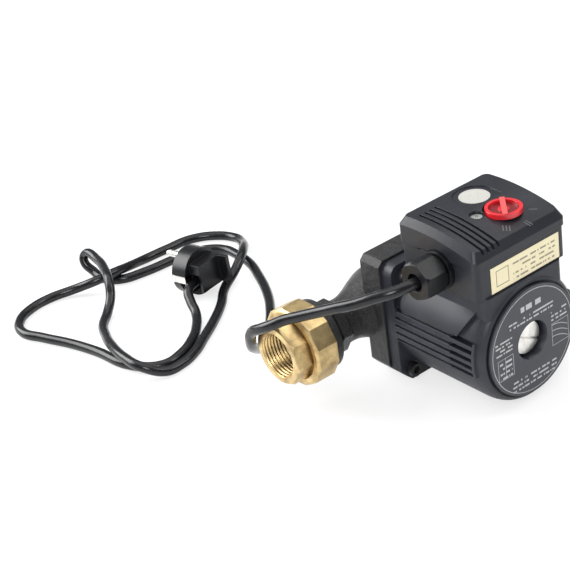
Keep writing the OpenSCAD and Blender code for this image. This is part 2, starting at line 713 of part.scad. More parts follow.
gland_tube_r = 7;
gland_plate_r = 12.2;
gland_plate_t = 3.2;
gland_thread_r = 8.6;
gland_thread_len = 8.5;
gland_bore_r = 5.6;
gland_wall_x = -box_w/2;
gland_nut_at = gland_wall_x - gland_plate_t - part_gap;
module at_gland() translate([0, -gland_at, gland_up]) children();
module gland_body() color(dark_plastic) stand() at_gland() difference() {
    union() {
        piped(gland_wall_x - gland_plate_t) cylinder(r = gland_plate_r, h = gland_plate_t);
        piped(gland_wall_x - fit_gap) cylinder(r = gland_tube_r - fit_gap, h = box_wall + 2);
        piped(gland_wall_x - gland_plate_t - gland_thread_len) cylinder(r = gland_thread_r, h = gland_thread_len + fit_gap);
    }
    piped(gland_wall_x - gland_plate_t - gland_thread_len - over)
        cylinder(r = gland_bore_r, h = 2*gland_thread_len + box_wall + gland_plate_t);
}
// The rubber sleeve that grips the cord inside the gland
seal_len = 7;
module gland_seal() color(rubber) stand() at_gland()
    piped(gland_wall_x - gland_plate_t - gland_thread_len + fit_gap) tube(gland_bore_r, cord_d/2, seal_len);
nut_dome = 3;
gland_turn = 7;
module gland_nut() color(dark_plastic) stand() at_gland() difference() {
    intersection() {
        piped(gland_nut_at - gland_nut_len) rotate([0, 0, gland_turn]) cylinder(d = gland_af/cos(30), h = gland_nut_len, $fn = 6);
        turned_on_pipe([[0, gland_nut_at - gland_nut_len], [gland_af/2 + 0.6, gland_nut_at - gland_nut_len],
            [gland_af/2 + 1.8, gland_nut_at - gland_nut_len + nut_dome], [gland_af/2 + 1.8, gland_nut_at - nut_dome],
            [gland_af/2 - 0.4, gland_nut_at], [0, gland_nut_at]]);
    }
    piped(gland_nut_at - gland_thread_len - part_gap) cylinder(r = gland_thread_r + run_gap, h = gland_thread_len + over);
    piped(gland_nut_at - gland_nut_len - over) cylinder(d = gland_mouth_d, h = gland_nut_len);
}

// Unions

nut_bevel = 2.4;
nut_bevel_len = 2.6;
module union_nut() color(brass) difference() {
    intersection() {
        piped(-nut_front) rotate([0, 0, nut_turn]) cylinder(d = nut_d, h = nut_len, $fn = 12);
        turned_on_pipe([[0, -nut_front], [nut_d/2 - nut_bevel, -nut_front],
            [nut_d/2 + over, -nut_front + nut_bevel_len], [nut_d/2 + over, -nut_back], [0, -nut_back]]);
    }
    piped(-nut_front - over) cylinder(d = nut_hole_d, h = nut_len);
    piped(-nut_front + nut_shoulder) cylinder(d = port_thread_d + 2*run_gap, h = nut_len);
}
module left_union_nut() stand() union_nut();
module right_union_nut() stand() mirror([1, 0, 0]) union_nut();
tail_chamfer = 1.6;
tail_turn = 11;
module tailpiece() color(brass) difference() {
    union() {
        piped(-tail_seat - tail_collar_t) cylinder(r = port_thread_d/2 - part_gap, h = tail_collar_t);
        intersection() {
            piped(-tail_end) rotate([0, 0, tail_turn]) cylinder(d = tail_d, h = tail_end - tail_seat - over, $fn = 8);
            turned_on_pipe([[0, -tail_end], [tail_d/2 - tail_chamfer, -tail_end],
                [tail_d/2 + over, -tail_end + tail_chamfer + over], [tail_d/2 + over, -tail_seat], [0, -tail_seat]]);
        }
    }
    piped(-tail_end - over) cylinder(d = tail_bore, h = tail_end);
}
module left_tailpiece() stand() tailpiece();
module right_tailpiece() stand() mirror([1, 0, 0]) tailpiece();
module union_gasket() color(rubber) piped(-tail_seat) tube(port_thread_d/2 - part_gap, tail_bore/2 + part_gap, union_gasket_t);
module left_union_gasket() stand() union_gasket();
module right_union_gasket() stand() mirror([1, 0, 0]) union_gasket();

// Mains lead and plug

// The lead's route from the terminal box over the left union, along the surface and to the plug
cord_route = [
    [-32, -32.4, 97], [-62, -32.4, 97], [-71, -29.5, 96], [-79, -21, 93], [-86, -11, 88.5],
    [-92, 1, 84], [-97, 13, 79], [-102, 23, 75], [-107, 32, 71.5], [-112, 38.5, 68], [-115, 46.2, 63.9],
    [-116, 55.9, 57.9], [-114, 62, 48.3], [-110, 68, 40], [-104, 75, 33], [-94, 86, 23], [-81, 99, 13],
    [-67, 114, 6], [-53, 130, 3.5], [-39, 147, 3.5], [-27, 165, 3.5], [-14, 192, 3.5], [-6, 214, 3.5],
    [-4, 231, 3.5], [-5, 246, 3.5], [-14, 258, 3.5], [-30, 264, 3.5], [-66, 268, 3.5],
    [-82, 273, 3.5], [-90, 285, 3.5], [-91, 297, 6], [-93, 305, 13], [-91, 305, 18], [-91, 287, 19.5],
    [-96, 269, 19.5], [-103, 253, 17.5], [-108, 246, 10], [-117, 238, 4.5], [-128, 227, 3.5], [-137, 209, 6],
    [-145, 187, 10], [-149, 164, 11.5], [-147, 147, 10.5], [-135, 139, 4.5], [-121, 139, 3.5], [-107, 144, 3.5],
    [-92, 154, 3.5], [-75, 166, 3.5], [-57, 181, 3.5], [-41, 198, 3.5], [-24, 207, 7.5], [-13, 213, 12],
    [-4, 222, 11.5], [8, 240, 6], [12, 255, 3.5], [4, 271, 3.5], [-12, 282, 3.5], [-32, 284, 3.5],
    [-54, 284, 4], [-73, 277, 8.5], [-87, 273, 11.5], [-101, 274, 11], [-115, 286, 5.5], [-132, 293, 3.5],
    [-150, 291, 3.5], [-165, 282, 3.5], [-172, 266, 3.5], [-166, 247, 3.5], [-157, 223, 3.5], [-151, 200, 3.5],
    [-145, 165, 3.5], [-131, 148, 3.5], [-114, 150, 3.5], [-100, 158, 3.5], [-87, 170, 3.5],
    [-77, 184, 5.5], [-74, 193, 9.5], [-70, 200.5, 13.5]];
cord_sides = 10;
// Where the plug lies, which way its pins point and how far they rise
plug_place = [-53.5, 221.5, 17.9];
plug_turn = 102;
plug_rise = -3;
// The cord meets the plug in a pocket on its side
pocket_set = 14;
pocket_floor = 5;
pocket_drop = 4;
pocket_w = 14;
pocket_h = 14;
function unit(v) = v/norm(v);
function along(p, i) = unit(p[min(i + 1, len(p) - 1)] - p[max(i - 1, 0)]);
// Directions square to the route, carried from ring to ring without a twist
function carried(p) = [for (i = 0, side = unit(cross(along(p, 0), [0, 0, 1])); i < len(p);
    i = i + 1, side = i < len(p) ? unit(side - along(p, i)*(side*along(p, i))) : side) side];
module swept(p, r, n) {
    side = carried(p);
    rings = [for (i = [0:len(p) - 1]) let (up = cross(side[i], along(p, i)))
        for (k = [0:n - 1]) p[i] + r*(cos(360*k/n)*side[i] + sin(360*k/n)*up)];
    last = n*(len(p) - 1);
    polyhedron(rings, concat(
        [for (k = [1:n - 2]) [0, k, k + 1]],
        [for (k = [1:n - 2]) [last, last + k + 1, last + k]],
        [for (i = [0:len(p) - 2]) for (k = [0:n - 1]) let (a = i*n + k, b = i*n + (k + 1)%n) [a, a + n, b]],
        [for (i = [0:len(p) - 2]) for (k = [0:n - 1]) let (a = i*n + k, b = i*n + (k + 1)%n) [b, a + n, b + n]]));
}
// Places a drawing whose X runs towards the pins and whose Y points at the side with the cord
module at_plug() translate(plug_place) rotate([0, 0, plug_turn]) rotate([0, -plug_rise, 0]) children();
module cord_end() at_plug() translate([-pocket_set, pocket_floor, -pocket_drop]) children();
// The cord's last point, at the floor of the plug's pocket
function turned_to_plug(v) = let (x = v[0]*cos(plug_rise) - v[2]*sin(plug_rise), z = v[0]*sin(plug_rise) + v[2]*cos(plug_rise))
    plug_place + [x*cos(plug_turn) - v[1]*sin(plug_turn), x*sin(plug_turn) + v[1]*cos(plug_turn), z];
plug_entry = turned_to_plug([-pocket_set, pocket_floor + fit_gap/2, -pocket_drop]);
plug_lead_in = turned_to_plug([-pocket_set, pocket_floor + cord_d/2, -pocket_drop]);
module power_cord() color(rubber) swept(concat(cord_route, [plug_lead_in, plug_entry]), cord_d/2, cord_sides);
plug_waist = 21;
plug_body_len = 10;
plug_tail_w = 11.5;
rim_t = 2.6;
tab_len = 8;
tab_w = 3;
clip_w = 6.4;
clip_deep = 1.6;
pin_gap = 19;
module plug_body() color(dark_plastic) at_plug() difference() {
    union() {
        translate([-plug_t, 0, 0]) rotate([0, 90, 0]) cylinder(d = plug_d, h = plug_t);
        translate([-plug_t - plug_body_len, -plug_tail_w, -plug_waist/2]) cube([plug_body_len + over, 2*plug_tail_w, plug_waist]);
        translate([-plug_t - plug_body_len - tab_len, -plug_tail_w, -plug_waist/2]) cube([tab_len + over, tab_w, plug_waist]);
    }
    for (s = [-1, 1]) translate([-plug_t - over, s*plug_d/2 - clip_deep, -clip_w/2]) cube([plug_t + 2*over, 2*clip_deep, clip_w]);
    translate([-pocket_set - pocket_w/2, pocket_floor, -pocket_drop - pocket_h/2]) cube([pocket_w, plug_d, pocket_h]);
}
module plug_pins() color(steel) at_plug() for (s = [-1, 1]) translate([0, 0, s*pin_gap/2]) rotate([0, 90, 0]) {
    cylinder(d = pin_d, h = pin_len - pin_d/2);
    translate([0, 0, pin_len - pin_d/2]) sphere(d = pin_d, $fn = 24);
}
module plug_earth_clips() color(steel) at_plug() for (s = [-1, 1])
    translate([-plug_t + 1, s > 0 ? plug_d/2 - clip_deep + fit_gap/2 : -plug_d/2 + clip_deep/2 - fit_gap/2, -clip_w/2 + 0.5])
        cube([plug_t - 2, clip_deep/2, clip_w - 1]);

pump_housing();
housing_gasket();
wear_ring();
bearing_plate();
stator_housing();
flange_bolts();
stator_core();
stator_windings();
rotor_can();
rear_bearing();
front_bearing();
rotor_shaft();
rotor_core();
thrust_ring();
impeller();
nameplate();
vent_screw();
vent_seal();
terminal_box_base();
box_screws();
terminal_box_lid();
lid_seal();
lid_screw();
capacitor();
terminal_block();
terminal_screws();
speed_switch();
selector_knob();
round_sticker();
front_label();
gland_body();
gland_seal();
gland_nut();
left_union_nut();
right_union_nut();
left_tailpiece();
right_tailpiece();
left_union_gasket();
right_union_gasket();
power_cord();
plug_body();
plug_pins();
plug_earth_clips();
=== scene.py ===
"""Looks of the circulation pump: finishes, printed marks, painted highlights and shade, the mains lead and the
studio.
"""

import math

import bmesh
import bpy
from bpy.props import FloatProperty, FloatVectorProperty, IntProperty, PointerProperty
from mathutils import Matrix, Vector


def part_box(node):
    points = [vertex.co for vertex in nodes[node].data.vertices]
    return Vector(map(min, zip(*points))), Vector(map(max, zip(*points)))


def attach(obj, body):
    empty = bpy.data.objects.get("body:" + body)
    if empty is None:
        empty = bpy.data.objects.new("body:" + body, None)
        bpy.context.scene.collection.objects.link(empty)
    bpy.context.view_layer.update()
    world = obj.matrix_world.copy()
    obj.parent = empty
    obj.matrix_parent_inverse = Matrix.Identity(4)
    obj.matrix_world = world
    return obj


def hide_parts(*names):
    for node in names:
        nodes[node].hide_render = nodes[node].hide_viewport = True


bl_info = {
    "name": "Circulation pump looks",
    "version": (1, 0, 0),
    "blender": (4, 5, 0),
    "location": "3D View > Sidebar > Pump",
    "description": "Finishes, printed marks, mains lead and studio of a wet-rotor circulation pump",
    "category": "Object",
}

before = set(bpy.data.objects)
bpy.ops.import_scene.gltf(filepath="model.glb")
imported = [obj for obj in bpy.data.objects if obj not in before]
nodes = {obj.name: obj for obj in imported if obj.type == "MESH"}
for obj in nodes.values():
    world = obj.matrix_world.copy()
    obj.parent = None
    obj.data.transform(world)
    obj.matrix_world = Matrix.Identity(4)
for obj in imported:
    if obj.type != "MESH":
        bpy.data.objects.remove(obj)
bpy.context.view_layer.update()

MM = 0.001
# The pump's own origin, where the pipe axis meets the motor axis, in the part's frame
MIDDLE = Vector((0.0, 0.0416015, 0.0435))

# The camera of the photograph: its lens, its place in the pump's own frame in millimetres, its axes
LENS = 94.01
CAMERA_PLACE = (-541.25, -644.78, 479.60)
CAMERA_RIGHT = (0.77032, -0.62315, -0.13524)
CAMERA_UP = (0.40017, 0.30732, 0.86337)
CAMERA_BACK = (-0.49645, -0.71920, 0.48610)

# The knob, in metres: reach of its sunken middle and its depth below the pointer's top, which bound the painted
# shade there, and the pointer's own depth, which bounds its painted highlight
KNOB_SHADE_REACH = 0.0091
KNOB_SHADE_DEPTH = 0.0026
KNOB_HIGHLIGHT_DEPTH = 0.0008

# The speed dial on the lid, in millimetres: each mark's count of strokes and its direction in degrees; the
# strokes are pale strips painted as the highlights on the lid's grooves
DIAL_MIDDLE = Vector((8.0, -84.0, 0.0))
DIAL_MARKS = ((1, -35.0), (2, -83.0), (3, -132.0))
DIAL_NEAR = 14.6
DIAL_FAR = 19.6
DIAL_GAP = 1.9
DIAL_HALF_STROKE = 0.34

# The lid's arch, in millimetres: height of its crest, the crest's distance before the middle, its radius
LID_CREST = 78.8
LID_CREST_AT = 55.0
LID_ARCH = 155.0

# How far the lid screw's head stands above its seat
SCREW_LIFT = 2.7 * MM

# The Rp 1 threads of the tailpieces, in millimetres, and their steps
THREAD_PITCH = 2.309
THREAD_ROOT = 15.08
THREAD_DEPTH = 0.95
THREAD_MOUTH = 109.9
THREAD_LENGTH = 17.5
THREAD_FADE_IN = 1.6
THREAD_FADE_OUT = 1.2
THREAD_AROUND = 72
THREAD_STEPS_PER_TURN = 6

# Printed bars, in metres: left, right, low, high, number of rows, size of the gaps, inked share of a row
LABEL_TEXT_LEFT = 0.018
LABEL_TEXT_LOW = 0.002
LABEL_RIGHT_MARGIN = 0.0035
LABEL_TOP_MARGIN = 0.0015
LABEL_TEXT = (4, 0.0030, 0.36)
# The label's empty sign: left, right, margin above and below, thickness of its line
LABEL_SIGN = (0.004, 0.0145, 0.003, 0.0006)
STICKER_BARS = (-0.0058, 0.0058, -0.0045, 0.0045, 4, 0.0016, 0.36)
STICKER_RING = (0.0080, 0.0084)
# A pale ring painted just inside the nameplate's edge as a highlight on its rim, and the reach beyond which
# nothing is painted on the plate
PLATE_RIM_HIGHLIGHT = (0.0337, 0.0341)
PLATE_EDGE = 0.0342
PLATE_BARS = (
    (-0.0085, 0.0085, 0.0225, 0.0290, 1, 0.0060, 0.55),
    (-0.0190, 0.0190, 0.0150, 0.0205, 2, 0.0030, 0.40),
    (-0.0190, 0.0190, -0.0290, -0.0200, 3, 0.0028, 0.40),
    (-0.0310, -0.0170, 0.0020, 0.0120, 4, 0.0030, 0.42),
    (0.0165, 0.0300, 0.0050, 0.0130, 3, 0.0030, 0.42),
    (-0.0285, -0.0185, -0.0150, -0.0015, 4, 0.0026, 0.40),
)
# The table at the left, its first column, and the frame of the pump's curves at the right
PLATE_FRAMES = (
    (-0.0300, -0.0170, -0.0155, -0.0010),
    (-0.0300, -0.0235, -0.0155, -0.0010),
    (0.0165, 0.0310, -0.0125, 0.0030),
)
CURVE_HEIGHTS = (0.0020, -0.0020, -0.0060)
CURVE_LEFT = 0.0170
CURVE_RIGHT = 0.0300
CURVE_LOW = -0.0122
CURVE_BEND = 28.0
CURVE_HALF_LINE = 0.00022

# The studio: how the white floor glows from near to far, and what mirrors see of the white
FLOOR_REACH = 6.0
GLOW_NEAR = 0.45
GLOW_FAR = 1.3
GLOW_LEAST = 0.70
FLOOR_MIRRORED = 0.22
WORLD_MIRRORED = 0.08
LAMP_AIM = Vector((0.0, 0.05, 0.04))


def pump(x, y, z):
    """A place in the pump's own frame, given in millimetres, as a point of the part."""
    return Vector((x, y, z)) * MM + MIDDLE


# Settings that a user would change


class PumpFinish(bpy.types.PropertyGroup):
    """Colours of the pump's finishes."""

    iron: FloatVectorProperty(name="Casting", description="Black coat of the pump casting", subtype="COLOR",
                              size=3, min=0, max=1, default=(0.0080, 0.0080, 0.0088))
    motor: FloatVectorProperty(name="Motor", description="Satin enamel of the motor casting", subtype="COLOR",
                               size=3, min=0, max=1, default=(0.0150, 0.0168, 0.0235))
    box: FloatVectorProperty(name="Terminal box", description="Charcoal plastic of the terminal box",
                             subtype="COLOR", size=3, min=0, max=1, default=(0.0135, 0.0145, 0.0190))
    black: FloatVectorProperty(name="Black plastic", description="Plastic of the gland and the plug",
                               subtype="COLOR", size=3, min=0, max=1, default=(0.0052, 0.0055, 0.0068))
    brass: FloatVectorProperty(name="Brass", description="Machined brass of the unions", subtype="COLOR",
                               size=3, min=0, max=1, default=(0.60, 0.455, 0.225))
    knob: FloatVectorProperty(name="Knob", description="Red plastic of the speed knob", subtype="COLOR",
                              size=3, min=0, max=1, default=(0.56, 0.012, 0.020))
    label: FloatVectorProperty(name="Label", description="Film of the front label", subtype="COLOR",
                               size=3, min=0, max=1, default=(0.70, 0.63, 0.42))
    grain: FloatProperty(name="Casting grain", description="Size of the grains in the casting's coat",
                         subtype="DISTANCE", default=0.0009, min=0.0002, max=0.004)


class PumpLead(bpy.types.PropertyGroup):
    """Sizes of the mains lead."""

    diameter: FloatProperty(name="Diameter", description="Thickness of the mains lead", subtype="DISTANCE",
                            default=0.007, min=0.006, max=0.008)
    sides: IntProperty(name="Roundness", description="Steps around the lead", default=6, min=3, max=12)


class PumpStage(bpy.types.PropertyGroup):
    """Lamps and floor."""

    floor: FloatVectorProperty(name="Floor", description="Colour of the floor", subtype="COLOR", size=3,
                               min=0, max=1, default=(0.93, 0.93, 0.93))
    key: FloatProperty(name="Key lamp", description="Power of the lamp over the left shoulder",
                       subtype="POWER", default=11.0, min=0, max=100)
    top: FloatProperty(name="Top lamp", description="Power of the lamp overhead", subtype="POWER",
                       default=11.0, min=0, max=100)
    side: FloatProperty(name="Side lamp", description="Power of the lamp at the right", subtype="POWER",
                        default=9.0, min=0, max=100)
    back: FloatProperty(name="Back lamp", description="Power of the wide lamp behind the left side",
                        subtype="POWER", default=46.0, min=0, max=100)
    sky: FloatProperty(name="Sky", description="Strength of the even light all round",
                       default=0.26, min=0, max=3)


# Shader maths


class Wire:
    """One output socket, so that sums on surfaces read as plain expressions."""

    def __init__(self, paint, socket):
        self.paint = paint
        self.socket = socket

    def _math(self, operation, first, second=None):
        values = [first] if second is None else [first, second]
        return self.paint.add("ShaderNodeMath", {"operation": operation}, values)

    def __add__(self, other):
        return self._math("ADD", self, other)

    __radd__ = __add__

    def __sub__(self, other):
        return self._math("SUBTRACT", self, other)

    def __rsub__(self, other):
        return self._math("SUBTRACT", other, self)

    def __mul__(self, other):
        return self._math("MULTIPLY", self, other)

    __rmul__ = __mul__

    def __truediv__(self, other):
        return self._math("DIVIDE", self, other)

    def __lt__(self, other):
        return self._math("LESS_THAN", self, other)

    def __gt__(self, other):
        return self._math("GREATER_THAN", self, other)

    def fraction(self):
        return self._math("FRACT", self)

    def floor(self):
        return self._math("FLOOR", self)

    def size(self):
        return self._math("ABSOLUTE", self)

    def most(self, other):
        return self._math("MAXIMUM", self, other)

    def root(self):
        return self._math("SQRT", self)

    def between(self, low, high):
        """1 where the value lies between two numbers."""
        return (self > low) * (self < high)

    def spread(self, low, high, to_low=0.0, to_high=1.0):
        """Maps a range of values to another, with both ends held."""
        return self.paint.add("ShaderNodeMapRange", {"clamp": True}, [self, low, high, to_low, to_high])


class Paint:
    """A node material of the pump, made from expressions."""

    def __init__(self, name, **fixed):
        self.material = bpy.data.materials.new(name)
        self.material.use_nodes = True
        self.tree = self.material.node_tree
        self.tree.nodes.clear()
        self.shader = self.tree.nodes.new("ShaderNodeBsdfPrincipled")
        self.out = self.tree.nodes.new("ShaderNodeOutputMaterial")
        self.tree.links.new(self.shader.outputs[0], self.out.inputs[0])
        for socket, value in fixed.items():
            self.shader.inputs[socket.replace("_", " ")].default_value = value

    def add(self, kind, settings=None, values=(), output=0):
        """Adds a node: its settings first, then the numbers or wires of its sockets."""
        node = self.tree.nodes.new(kind)
        for key, value in (settings or {}).items():
            setattr(node, key, value)
        pairs = values.items() if isinstance(values, dict) else enumerate(values)
        for key, value in pairs:
            if isinstance(value, Wire):
                self.tree.links.new(value.socket, node.inputs[key])
            elif value is not None:
                node.inputs[key].default_value = value
        return Wire(self, node.outputs[output])

    def place(self):
        """The place on the part, in metres."""
        return self.add("ShaderNodeTexCoord", output="Object")

    def parts(self, vector):
        """The three numbers of a vector."""
        split = self.tree.nodes.new("ShaderNodeSeparateXYZ")
        self.tree.links.new(vector.socket, split.inputs[0])
        return [Wire(self, split.outputs[i]) for i in range(3)]

    def face(self, vector, middle, axes):
        """Places on a flat face, from its middle along two axes, and the reach from the middle."""
        numbers = dict(zip("xyz", self.parts(vector)))
        u, v = (numbers[axis] - getattr(middle, axis) for axis in axes)
        return u, v, (u * u + v * v).root()

    def stretch(self, vector, by):
        """The place with each axis scaled, so that noise on it is drawn out."""
        return self.add("ShaderNodeVectorMath", {"operation": "MULTIPLY"}, [vector, by])

    def noise(self, vector, size, detail=3.0, rough=0.55):
        """Cloudy variation with patches of about the given size in metres."""
        return self.add("ShaderNodeTexNoise", {}, {"Vector": vector, "Scale": 1.0 / size, "Detail": detail,
                                                   "Roughness": rough})

    def blend(self, amount, first, second):
        """A colour between two others."""
        low, high = (value if isinstance(value, Wire) else rgba(value) for value in (first, second))
        return self.add("ShaderNodeMix", {"data_type": "RGBA"}, {0: amount, 6: low, 7: high}, output=2)

    def edge(self, radius):
        """A normal that rounds sharp edges a little."""
        return self.add("ShaderNodeBevel", {"samples": 4}, {"Radius": radius})

    def bump(self, height, distance, strength=1.0, under=None):
        """A normal that follows a height, over a normal below it if one is given."""
        values = {"Strength": strength, "Distance": distance, "Height": height}
        if under is not None:
            values["Normal"] = under
        return self.add("ShaderNodeBump", {}, values)

    def finish(self, **wires):
        """Joins the wires to the shader and gives the material."""
        for socket, value in wires.items():
            target = self.shader.inputs[socket.replace("_", " ")]
            if isinstance(value, Wire):
                self.tree.links.new(value.socket, target)
            else:
                target.default_value = value
        return self.material


def rgba(colour, by=1.0):
    """A colour with its alpha, made lighter or darker by a factor."""
    values = [min(1.0, c * by) for c in list(colour)[:3]]
    return (*values, 1.0)


def wear(node_names, material):
    """Gives CAD nodes their finish."""
    for name in node_names:
        mesh = nodes[name].data
        mesh.materials.clear()
        mesh.materials.append(material)


# Finishes


def coated_iron(colour, grain):
    """Black coat over sand-cast iron: coarse grain, glossy on the crests."""
    paint = Paint("coated_iron", IOR=1.5, Coat_Weight=0.1, Coat_Roughness=0.25, Specular_IOR_Level=0.42)
    at = paint.place()
    sand = paint.noise(at, grain, 5.0, 0.6)
    lumps = paint.noise(at, 0.006, 3.0)
    patches = paint.noise(at, 0.03, 2.0)
    tint = paint.blend(sand.spread(0.35, 0.7), rgba(colour, 0.55), rgba(colour, 1.7))
    tint = paint.blend(patches.spread(0.45, 0.75) * 0.35, tint, rgba(colour, 2.6))
    return paint.finish(Base_Color=tint, Roughness=0.20 + 0.26 * sand.spread(0.3, 0.75) + 0.08 * patches,
                        Normal=paint.bump(sand + lumps * 1.6, 0.0010, 0.85, paint.edge(0.0013)))


def motor_enamel(colour):
    """Satin blue-black enamel, smooth with a faint orange peel."""
    paint = Paint("motor_enamel", IOR=1.5, Specular_IOR_Level=0.34)
    at = paint.place()
    peel = paint.noise(at, 0.0012, 2.0)
    dust = paint.noise(at, 0.0004, 4.0, 0.7)
    patches = paint.noise(at, 0.02, 2.0)
    tint = paint.blend(patches.spread(0.35, 0.7), rgba(colour, 0.8), rgba(colour, 1.25))
    tint = paint.blend((dust > 0.68) * 0.35, tint, rgba(colour, 3.0))
    return paint.finish(Base_Color=tint, Roughness=0.36 + 0.1 * dust + 0.06 * patches,
                        Normal=paint.bump(peel + dust * 0.4, 0.00008, 0.5, paint.edge(0.0008)))


def moulded_plastic(name, colour, rough, speckle=0.5, shine=0.4):
    """Moulded plastic with a fine spark-eroded texture."""
    paint = Paint(name, IOR=1.48, Specular_IOR_Level=shine)
    at = paint.place()
    spark = paint.noise(at, 0.00045, 4.0, 0.65)
    patches = paint.noise(at, 0.025, 2.0)
    tint = paint.blend(patches.spread(0.35, 0.7), rgba(colour, 0.85), rgba(colour, 1.15))
    tint = paint.blend(spark.spread(0.55, 0.8) * speckle, tint, rgba(colour, 2.4))
    return paint.finish(Base_Color=tint, Roughness=rough + 0.16 * spark.spread(0.3, 0.8),
                        Normal=paint.bump(spark, 0.00006, 0.6, paint.edge(0.0006)))


def knob_plastic(colour):
    """Clear red plastic, with painted shade that makes its sunken middle deep red and a painted highlight that
    lightens the pointer's top.
    """
    paint = Paint("knob_plastic", IOR=1.48, Coat_Weight=0.4)
    at = paint.place()
    low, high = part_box("selector_knob")
    height = paint.parts(at)[2]
    reach = paint.face(at, (low + high) / 2, "xy")[2]
    # Masks for painted light: the sunken middle gets painted shade, the pointer's top a painted highlight
    sunk_shade = (reach < KNOB_SHADE_REACH) * (height < high.z - KNOB_SHADE_DEPTH)
    pointer_highlight = height > high.z - KNOB_HIGHLIGHT_DEPTH
    clouds = paint.noise(at, 0.004, 2.0)
    skin = paint.noise(at, 0.0006, 3.0)
    tint = paint.blend(clouds, rgba(colour, 0.9), rgba(colour, 1.1))
    # Painted shade darkens the sunken middle to deep red; a painted highlight lightens the pointer's top
    tint = paint.blend(sunk_shade * 0.9, tint, (0.13, 0.003, 0.006))
    tint = paint.blend(pointer_highlight * 0.45, tint, (0.85, 0.16, 0.15))
    return paint.finish(Base_Color=tint, Roughness=0.24 + 0.12 * skin,
                        Normal=paint.bump(skin, 0.00003, 0.4, paint.edge(0.0005)))


def machined_brass(colour):
    """Brass bar stock, turned and hot pressed: warm, a little tarnished, grainy on the flats."""
    paint = Paint("machined_brass", IOR=1.5, Metallic=1.0)
    at = paint.place()
    rings = paint.noise(paint.stretch(at, (1.0, 0.06, 0.06)), 0.00035, 3.0)
    grain = paint.noise(at, 0.0008, 5.0, 0.65)
    stains = paint.noise(at, 0.011, 4.0, 0.6)
    tint = paint.blend(stains.spread(0.38, 0.72), rgba(colour, 1.12), rgba((0.27, 0.18, 0.085)))
    tint = paint.blend(grain.spread(0.5, 0.8) * 0.5, tint, rgba(colour, 1.35))
    return paint.finish(Base_Color=tint, Roughness=0.24 + 0.18 * grain + 0.14 * stains,
                        Normal=paint.bump(grain * 0.8 + rings * 0.6, 0.00014, 0.6, paint.edge(0.0005)))


def plated_metal(name, colour, rough, brushed=0.0004):
    """Plated or ground metal with fine drawn lines."""
    paint = Paint(name, Metallic=1.0)
    at = paint.place()
    lines = paint.noise(paint.stretch(at, (0.08, 1.0, 1.0)), brushed, 3.0)
    clouds = paint.noise(at, 0.004, 3.0)
    tint = paint.blend(clouds.spread(0.35, 0.75), rgba(colour), rgba(colour, 0.78))
    return paint.finish(Base_Color=tint, Roughness=rough + 0.12 * lines + 0.08 * clouds,
                        Normal=paint.bump(lines, 0.00003, 0.5))


def soft_rubber(name, colour, rough):
    """Black rubber with a faint bloom."""
    paint = Paint(name, IOR=1.5)
    at = paint.place()
    bloom = paint.noise(at, 0.008, 3.0)
    skin = paint.noise(at, 0.0005, 3.0)
    tint = paint.blend(bloom.spread(0.4, 0.75), rgba(colour), rgba(colour, 1.7))
    return paint.finish(Base_Color=tint, Roughness=rough + 0.12 * bloom + 0.06 * skin,
                        Normal=paint.bump(skin, 0.00004, 0.5))


def lead_sheath(colour):
    """Glossy black sheath of the mains lead, with faint drawn ripples."""
    paint = Paint("lead_sheath", IOR=1.5, Specular_IOR_Level=0.34)
    at = paint.place()
    ripple = paint.noise(at, 0.003, 3.0)
    skin = paint.noise(at, 0.0006, 3.0)
    tint = paint.blend(ripple.spread(0.4, 0.7), rgba(colour, 0.8), rgba(colour, 1.4))
    return paint.finish(Base_Color=tint, Roughness=0.17 + 0.10 * ripple + 0.06 * skin,
                        Normal=paint.bump(ripple + skin * 0.3, 0.00006, 0.4))


def text_rows(paint, u, v, left, right, low, high, rows, gap_size, duty=0.42):
    """A mask of plain bars in rows, broken into words, that stand for printed lines."""
    line = (v - low) / ((high - low) / rows)
    inside = u.between(left, right) * v.between(low, high)
    words = paint.noise(paint.add("ShaderNodeCombineXYZ", {}, [u, line.floor() * 0.013, 0.0]), gap_size, 1.0)
    return inside * (line.fraction() < duty) * (words > 0.47)


def outline(u, v, left, right, low, high, line=0.0003):
    """A mask of a thin printed rectangle."""
    outer = u.between(left, right) * v.between(low, high)
    inner = u.between(left + line, right - line) * v.between(low + line, high - line)
    return outer * (1 - inner)


def front_label_film(colour):
    """Pale yellow film with plain printed bars and a thin frame."""
    paint = Paint("front_label_film", IOR=1.45)
    at = paint.place()
    low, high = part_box("front_label")
    width, _, height = high - low
    u, v, _ = paint.face(at, low, "xz")
    bars = text_rows(paint, u, v, LABEL_TEXT_LEFT, width - LABEL_RIGHT_MARGIN,
                     LABEL_TEXT_LOW, height - LABEL_TOP_MARGIN, *LABEL_TEXT)
    left, right, margin, line = LABEL_SIGN
    ink = bars.most(outline(u, v, left, right, margin, height - margin, line))
    clouds = paint.noise(at, 0.01, 2.0)
    tint = paint.blend(clouds, rgba(colour), rgba(colour, 0.93))
    tint = paint.blend(ink * 0.8, tint, (0.10, 0.09, 0.07))
    return paint.finish(Base_Color=tint, Roughness=0.42 + 0.1 * clouds,
                        Normal=paint.bump(clouds, 0.0001, 0.2))


def sticker_film():
    """Pale silvery film with a ring and plain bars."""
    paint = Paint("sticker_film", IOR=1.45, Metallic=0.1)
    at = paint.place()
    low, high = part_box("round_sticker")
    u, v, reach = paint.face(at, (low + high) / 2, "xy")
    ink = reach.between(*STICKER_RING).most(text_rows(paint, u, v, *STICKER_BARS))
    foil = paint.noise(at, 0.0015, 3.0)
    tint = paint.blend(foil, (0.35, 0.343, 0.318), (0.46, 0.452, 0.42))
    tint = paint.blend(ink * 0.55, tint, (0.33, 0.33, 0.32))
    return paint.finish(Base_Color=tint, Roughness=0.55 + 0.12 * foil, Normal=paint.bump(foil, 0.00005, 0.4))


